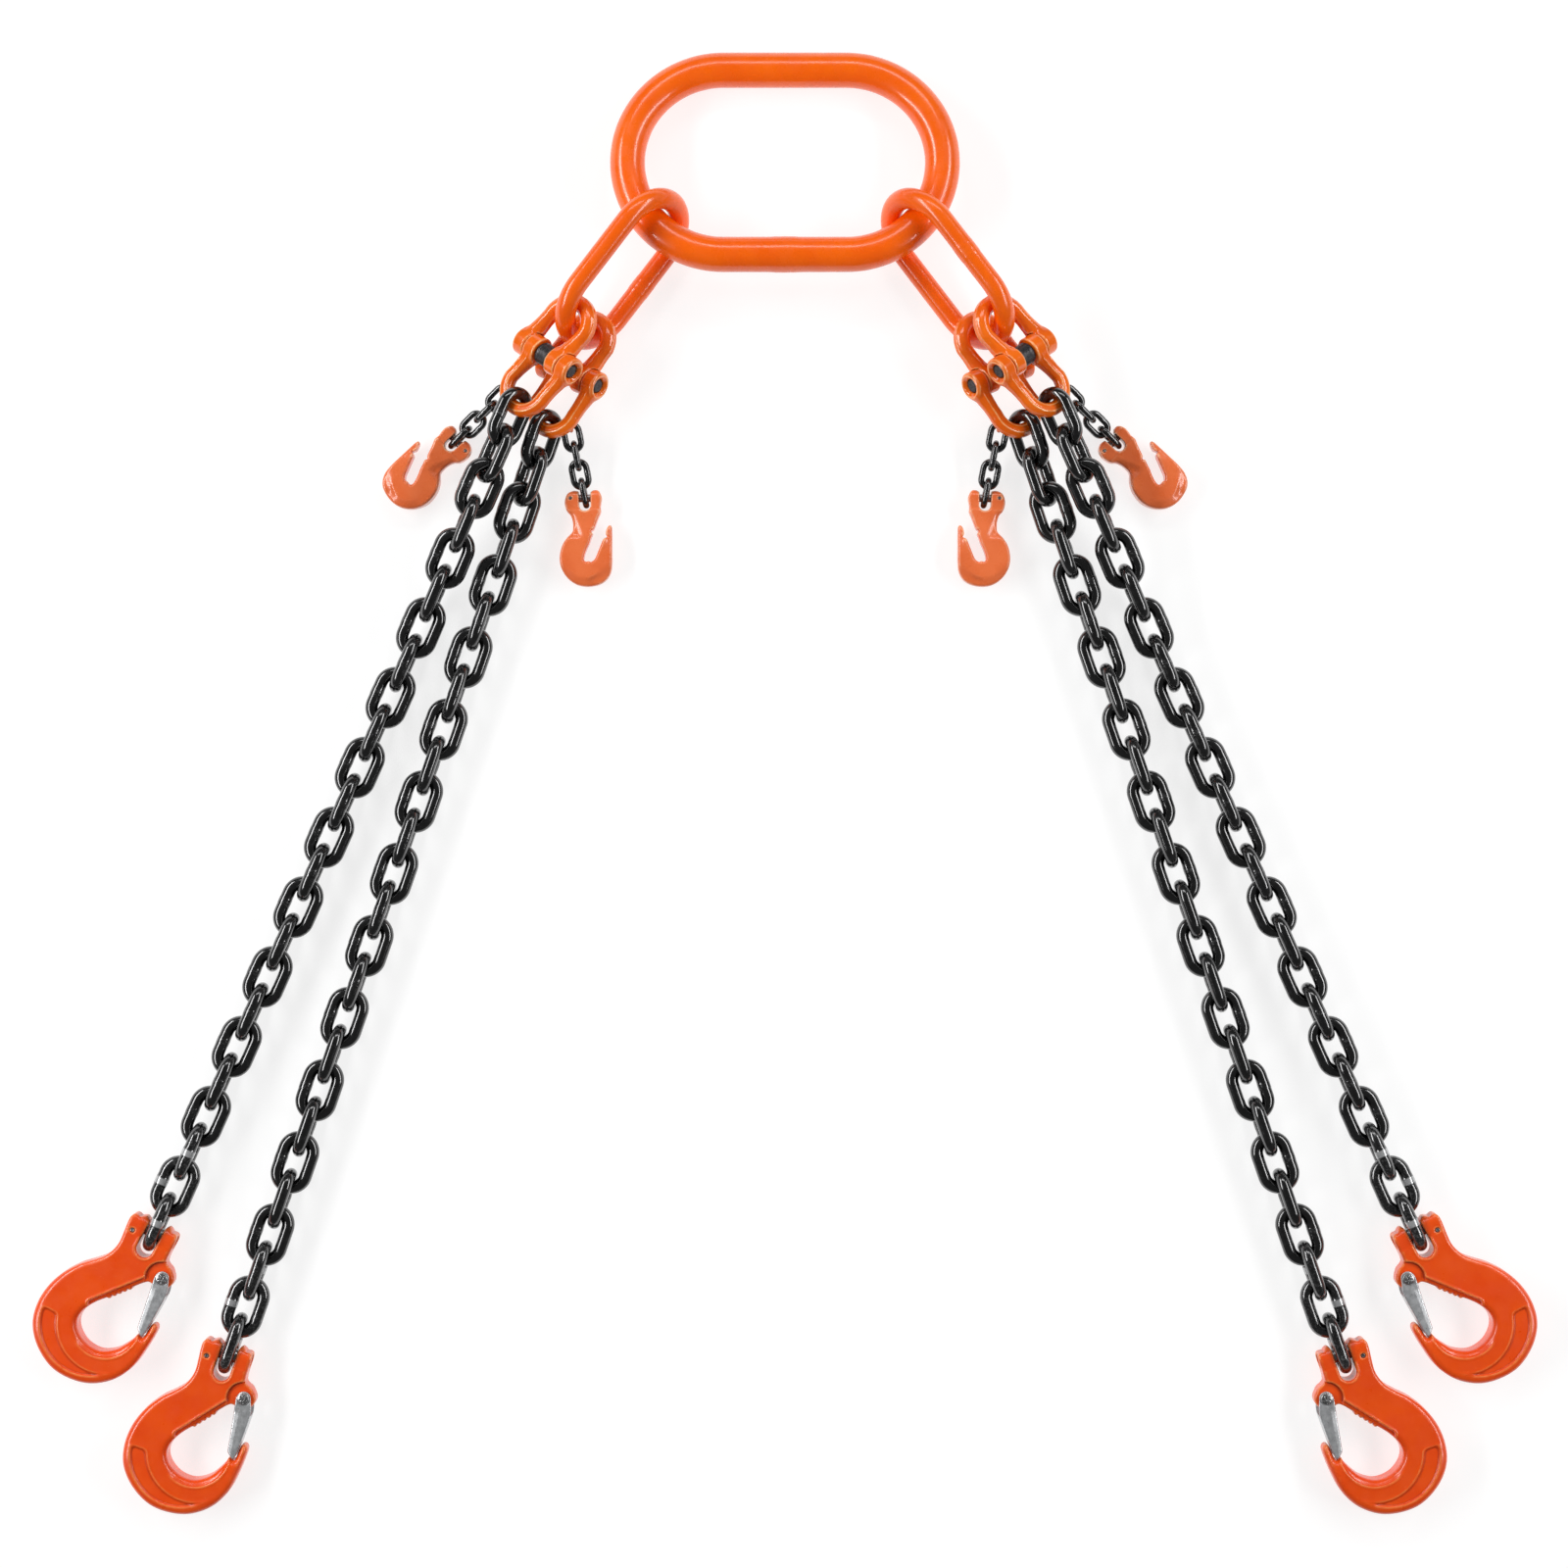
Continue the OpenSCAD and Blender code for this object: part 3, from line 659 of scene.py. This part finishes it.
# ---- sling hooks: the load pin is at the origin, and the throat is on the +X side ----
HOOK_OUTLINE = spline([
    (-5, 5.6), (-8.4, 7.5), (-10.4, 6.6), (-12.2, 5.3), (-14, 5.9), (-15.8, 5.6), (-17.4, 3), (-17.5, -1.3),
    (-16.8, -8), (-16.3, -15), (-17.3, -20.6), (-20, -26.6), (-25, -32.3), (-32, -39.3), (-38.6, -49.2),
    (-42.8, -61), (-43.6, -74), (-40.2, -86.4), (-31.4, -97), (-18.4, -104.5), (-5, -106), (9, -102.7),
    (20.8, -93.8), (27.9, -81.3), (30.2, -67.5), (30.9, -55), (30, -51.4), (28.2, -50.2), (26.3, -51.2),
    (25.6, -55), (25.2, -60.6), (23.6, -61.8), (21.3, -60.9), (20.2, -64.6), (17.8, -69.5), (13.2, -76.2),
    (5, -81.4), (-4.4, -81.3), (-12.4, -77), (-16.4, -70.8), (-16, -63.7), (-12.2, -56.4), (-6.6, -49.6),
    (-1.4, -43.4), (4.2, -36.6), (9.4, -30.4), (12.6, -28.4), (18.4, -29.4), (24.2, -26.2), (25.4, -20.6),
    (21.6, -15.6), (17, -13.4), (15.4, -11), (15, -6), (14.9, 2), (14, 5), (12.2, 5.9), (10.3, 5.6),
    (8.6, 7.4), (6.8, 8.2), (5, 6.4),
])
HOOK_STEP = 0.7
SHANK_HALF = 8.5
BOWL_MORE = 1.5
TIP_LESS = 2.4
SLOT_HALF = 5.25
SLOT_FLOOR = -16.4
LOAD_PIN_RADIUS = 4.5
RETAINING = (-12.4, -4.1)
RETAINING_RADIUS = 1.5
PIVOT = (18.1, -22.4)
RECESS_RADIUS = 10.6
LUG_HALF = 6.1
BOWL_OPENING = (0.5, -64.0)
RIM_DEPTH = 0.7
LEDGE = ((10.0, -29.6), (-12.4, -56.8))
LEDGE_DEPTH = 1.3
TEETH = (0.3, 0.4, 0.5, 0.6, 0.7)
TOOTH_RADIUS = 1.5
PANEL_OUTER, PANEL_OUTER_RADIUS = (-7.2, -69), 31.6
PANEL_INNER, PANEL_INNER_RADIUS = (1.5, -64), 31.8
PANEL_TOP = -72.5
PANEL_DEPTH = 1.0


def hook_shape(x, y, z):
    flat = polygon(x, y, HOOK_OUTLINE)
    for share in TEETH:
        tooth = [a + share * (b - a) for a, b in zip(*LEDGE)]
        flat = join(flat, np.hypot(x - tooth[0] + 0.3, y - tooth[1] - 0.3) - TOOTH_RADIUS, 0.5)
    half = SHANK_HALF + BOWL_MORE * ramp(-y, 34, 62) - TIP_LESS * ramp(y, -76, -54) * ramp(x, 17, 24)
    # a stepped ledge with a fine raised line along the shank's inner edge
    ledge = segment(x, y, *LEDGE)
    half = half - LEDGE_DEPTH * sunk(ledge, 2.7, 3.3) + 0.5 * ridge(ledge, 4.0, 0.5)
    # a stepped rim and a bead round the bowl's inner edge
    radial = from_point(x, y, BOWL_OPENING)
    low_right = ramp(-y, 58, 66) * ramp(x, -14, -6)
    half = half - RIM_DEPTH * sunk(radial, 20.6, 21.4) * low_right
    half = half + 0.4 * ridge(radial, 22.2, 0.55) * low_right
    # a sunk crescent panel on each face of the bowl
    panel = -join(PANEL_OUTER_RADIUS - from_point(x, y, PANEL_OUTER),
                  from_point(x, y, PANEL_INNER) - PANEL_INNER_RADIUS, 1.5)
    panel = -join(-panel, PANEL_TOP - y, 3.0)
    half = half - PANEL_DEPTH * sunk(panel, -0.7, 0.5) + 0.3 * ridge(panel, 1.0, 0.6)
    slot = clevis_slot(x, y, SLOT_HALF, SLOT_FLOOR)
    half = half + 0.45 * ridge(slot, 1.3, 0.5) * ramp(-y, 3, 8)
    shape = plate(flat, z, half, 2.4 + 1.8 * ramp(-y, 24, 60))
    shape = cut(shape, outside_ears(y, z, SHANK_HALF, -5), 1.0)
    shape = cut(shape, slot, 1.2)
    shape = cut(shape, np.maximum(from_point(x, y, PIVOT) - RECESS_RADIUS, LUG_HALF - np.abs(z)), 0.9)
    shape = cut(shape, np.hypot(y, z) - LOAD_PIN_RADIUS - 0.05, 0.6)
    return cut(shape, from_point(x, y, RETAINING) - RETAINING_RADIUS - 0.1, 0.5)


# ---- latch: pressed sheet, folded round the outer edge and the nose, open towards the throat ----
LATCH_OUTLINE = spline([
    (13.7, -23), (14.4, -20.2), (16.4, -18.2), (19.2, -17.9), (21.6, -19.4), (22.9, -22.3), (24.6, -27),
    (25.6, -32), (25.6, -42), (25.3, -52.5), (24.9, -58.4), (24.2, -60.4), (22.8, -60.2), (19.8, -57.8),
    (19, -56), (17.7, -48), (16, -38), (14.3, -28),
])
LATCH_FOLD = np.array([(5, -5), (32, -5), (32, -30), (24, -33), (23.6, -55.4), (20, -55.8), (5, -60)])
LATCH_STEP = 0.4
SHEET = 1.5
CHEEK_FACE = 7.95
CHEEK_FALL = 0.18
RIVET_STEP = 0.25
RIVET_RADIUS = 2.5
RIVET_HEAD_RADIUS = 3.7
RIVET_RAYS = 5


def latch_shape(x, y, z):
    flat = polygon(x, y, LATCH_OUTLINE)
    # the cheek falls away from a crease that runs from the head to the nose
    crease = 17.6 - 0.13 * (y + 25)
    fall = CHEEK_FALL * np.clip(crease - x, 0, 5) * ramp(-y, 27, 33)
    dish = 0.35 * ridge(from_point(x, y, PIVOT), 3.9, 0.5)
    outer = plate(flat, z, CHEEK_FACE - fall - dish, 0.7)
    inner = np.maximum(polygon(x, y, LATCH_FOLD), np.abs(z) - CHEEK_FACE + SHEET)
    return cut(outer, inner, 0.3)


def rivet_shape(x, y, z):
    """A domed head on each side, with a star of grooves across it."""
    across, over = np.hypot(x, y), np.abs(z)
    shank = np.maximum(across - RIVET_RADIUS, over - 8.5)
    head = plate(across - RIVET_HEAD_RADIUS, over - 8.2, 1.4 - 0.05 * across**2, 0.4)
    half_rays = RIVET_RAYS / 2
    rays = np.abs(np.sin(np.arctan2(y, x) * half_rays)) * across / half_rays - 0.3
    rays = np.maximum(rays, np.maximum(across - 2.6, 8.8 - over))
    return cut(np.minimum(shank, head), rays, 0.15)


hook_net = net(hook_shape, (-44, -107, -10.4), (31.5, 9, 10.4), HOOK_STEP)
latch_net = net(latch_shape, (13, -61, -8), (26, -17, 8), LATCH_STEP)
rivet_net = net(rivet_shape, (-4, -4, -9.8), (4, 4, 9.8), RIVET_STEP)
hook_edge = edge_share(*hook_net, HOOK_STEP)
# pins with rounded edges and dished ends
load_pin = turned_piece([(-16.4, 1.5), (-16.7, 3.4), (-16.1, 4.2), (-15.4, LOAD_PIN_RADIUS),
                         (12.8, LOAD_PIN_RADIUS), (13.5, 4.2), (14.1, 3.4), (13.8, 1.5)])
roll_pin = upright(turned_piece([(-7.4, 0.8), (-7.6, 1.3), (-7.2, RETAINING_RADIUS),
                                 (7.2, RETAINING_RADIUS), (7.6, 1.3), (7.4, 0.8)], 24), RETAINING)

for leg in LEGS:
    pose = hook_pose(leg)
    name = f"sling_hook_{leg}"
    piece(f"{name}_forging", [(*hook_net, pose)], name, HOOK_PAINT, "hook_red_orange", [f"{name}_body"],
          edge=hook_edge)
    piece(f"{name}_load_pin_bar", [(*load_pin, pose), (*roll_pin, pose)], name, PIN_BRIGHT,
          "bright_pin", [f"{name}_load_pin"])
    piece(f"{name}_latch_sheet", [(*latch_net, pose)], f"{name}_latch", ZINC, "zinc_sheet",
          [f"{name}_latch"])
    piece(f"{name}_rivet", [(rivet_net[0] + [*PIVOT, 0], rivet_net[1], pose)], name, PIN_BRIGHT,
          "bright_pin", [f"{name}_latch_rivet"])

# ---- grab hooks: the pin is at the origin, and the tip is on the +X side ----
GRAB_OUTLINE = spline([
    (3, 3.6), (5.6, 4.9), (8.6, 4.6), (10.4, 1), (10.4, -2.4), (9.7, -5.8), (9.9, -9), (8.2, -12.8),
    (6.6, -16.6), (5.2, -19.8), (3.7, -21), (4.4, -22.8), (3.4, -25), (2.1, -28.7), (0.5, -31.9),
    (-1.1, -36), (-1.5, -39), (0, -40.3), (1.6, -39.9), (3, -40.5), (5.4, -38.8), (7.4, -34.6), (9.4, -30),
    (11.2, -26.2), (13.4, -25), (12.6, -22.9), (13.4, -19.6), (15, -17.6), (16.5, -18.6), (16.6, -25),
    (16.4, -33), (16.2, -40.5), (15.3, -47), (12.3, -52), (7.3, -54.9), (0, -55.9), (-6.6, -54.4),
    (-12.2, -50.2), (-15.8, -44), (-16.7, -37.4), (-15.2, -30.4), (-12, -25.2), (-8.4, -21.4), (-7.8, -18),
    (-8, -14.6), (-9.2, -10.8), (-11.4, -8.2), (-12.6, -4), (-12.2, 0), (-10.4, 3.2), (-7, 4.8), (-4, 4.4),
])
GRAB_STEP = 0.5
GRAB_EAR_HALF = 5.8
GRAB_BOWL_MORE = 1.2
GRAB_EAR_RADIUS = 5.6
GRAB_SLOT_HALF = 3.7
GRAB_SLOT_FLOOR = -8.2
GRAB_PIN_RADIUS = 2.5
GRAB_BOWL = (-0.2, -39)
CROSS_PIN = (-9, 0)
CROSS_PIN_RADIUS = 1.0


def grab_shape(x, y, z):
    flat = polygon(x, y, GRAB_OUTLINE)
    half = GRAB_EAR_HALF + GRAB_BOWL_MORE * ramp(-y, 14, 26)
    # the shank's flared facet
    half = half - 1.5 * ramp(-x - 0.35 * (y + 20), 1.5, 6.5) * ramp(-y, 6, 12) * ramp(y, -27, -22)
    # the bowl falls towards its rim and its tip, with a small facet at the bottom
    rim = from_point(x, y, GRAB_BOWL)
    half = half - 1.9 * ramp(rim, 10.5, 16.7) * ramp(-y, 40, 50)
    half = half - 2.2 * ramp(x, 11, 15.5) * ramp(y, -38, -22)
    half = half - 0.9 * ridge(x, 4, 3.2) * ramp(rim, 11, 13.5) * ramp(-y, 46, 49)
    shape = plate(flat, z, half, 1.8)
    shape = cut(shape, outside_ears(y, z, GRAB_EAR_RADIUS, -7), 0.8)
    shape = cut(shape, clevis_slot(x, y, GRAB_SLOT_HALF, GRAB_SLOT_FLOOR), 0.8)
    shape = cut(shape, np.hypot(y, z) - GRAB_PIN_RADIUS - 0.05, 0.4)
    return cut(shape, from_point(x, y, CROSS_PIN) - CROSS_PIN_RADIUS - 0.1, 0.4)


grab_net = net(grab_shape, (-17, -56.2, -7.2), (17, 6, 7.2), GRAB_STEP)
grab_edge = edge_share(*grab_net, GRAB_STEP)
grab_pin = turned_piece([(-11.4, 0.9), (-11.6, 1.9), (-11, GRAB_PIN_RADIUS),
                         (8.4, GRAB_PIN_RADIUS), (9, 1.9), (8.8, 0.9)], 32)
cross_pin = upright(turned_piece([(-5, 0.5), (-5.1, 0.8), (-4.8, CROSS_PIN_RADIUS),
                                  (4.8, CROSS_PIN_RADIUS), (5.1, 0.8), (5, 0.5)], 20), CROSS_PIN)

for leg in LEGS:
    pose = grab_pose(leg)
    name = f"grab_hook_{leg}"
    piece(f"{name}_forging", [(*grab_net, pose)], name, GRAB_PAINT, "grab_coral", [f"{name}_body"],
          edge=grab_edge)
    piece(f"{name}_pin_bars", [(*grab_pin, pose), (*cross_pin, pose)], name, PIN_BRIGHT,
          "bright_pin", [f"{name}_pins"])


# ---- floor, lights and camera ----
WHITE = (1.0, 1.0, 1.0, 1.0)
AIM = (0.0, 0.0, 0.0)
FLOOR_HALF, FLOOR_TONE, FLOOR_GLOW = 8.0, 150, 0.78
SIDE_BOX = (0.4, 2.4)
TOP_BOX = (1.8, 0.4)
WORLD_STRENGTH = 0.1
CAMERA_LENS, CAMERA_SENSOR = 85, 36
CAMERA_PLACE = (-0.0006, -0.0006, 2.343)


def floor(size, tone):
    """A pale floor that glows a little, so that it stays nearly white under the sling."""
    look = Look("floor")
    look.colour(look.mix(look.noise(3, 2), srgb(*[tone] * 3), srgb(*[tone - 6] * 3)))
    look.set(Roughness=0.9, Emission_Color=WHITE, Emission_Strength=FLOOR_GLOW)
    mesh = bpy.data.meshes.new("floor")
    corners = [(-size, -size, 0), (size, -size, 0), (size, size, 0), (-size, size, 0)]
    mesh.from_pydata(corners, [], [(0, 1, 2, 3)])
    mesh.materials.append(look.material)
    obj = bpy.data.objects.new("floor", mesh)
    bpy.context.scene.collection.objects.link(obj)


def softbox(name, place, width, height, power):
    light = bpy.data.lights.new(name, "AREA")
    light.shape = "RECTANGLE"
    light.size = width
    light.size_y = height
    light.energy = power
    obj = bpy.data.objects.new(name, light)
    bpy.context.scene.collection.objects.link(obj)
    obj.location = place
    z = unit(np.array(place, float) - AIM)
    x = unit(np.cross([0.0, 1.0, 0.001], z))
    matrix = np.eye(4)
    matrix[:3, :3] = np.column_stack([x, np.cross(z, x), z])
    matrix[:3, 3] = place
    obj.matrix_world = Matrix(matrix.tolist())


floor(FLOOR_HALF, FLOOR_TONE)
softbox("left_softbox", (-1.7, 0.35, 1.3), *SIDE_BOX, 36)
softbox("right_softbox", (1.7, 0.35, 1.3), *SIDE_BOX, 28)
softbox("top_softbox", (0, 1.9, 1.6), *TOP_BOX, 11)

world = bpy.data.worlds.new("studio")
bpy.context.scene.world = world
world.use_nodes = True
world.node_tree.nodes["Background"].inputs["Color"].default_value = WHITE
world.node_tree.nodes["Background"].inputs["Strength"].default_value = WORLD_STRENGTH
bpy.context.scene.view_settings.view_transform = "Standard"

camera = bpy.data.cameras.new("camera")
camera.lens = CAMERA_LENS
camera.sensor_width = CAMERA_SENSOR
camera_object = bpy.data.objects.new("camera", camera)
bpy.context.scene.collection.objects.link(camera_object)
camera_object.location = CAMERA_PLACE
bpy.context.scene.camera = camera_object
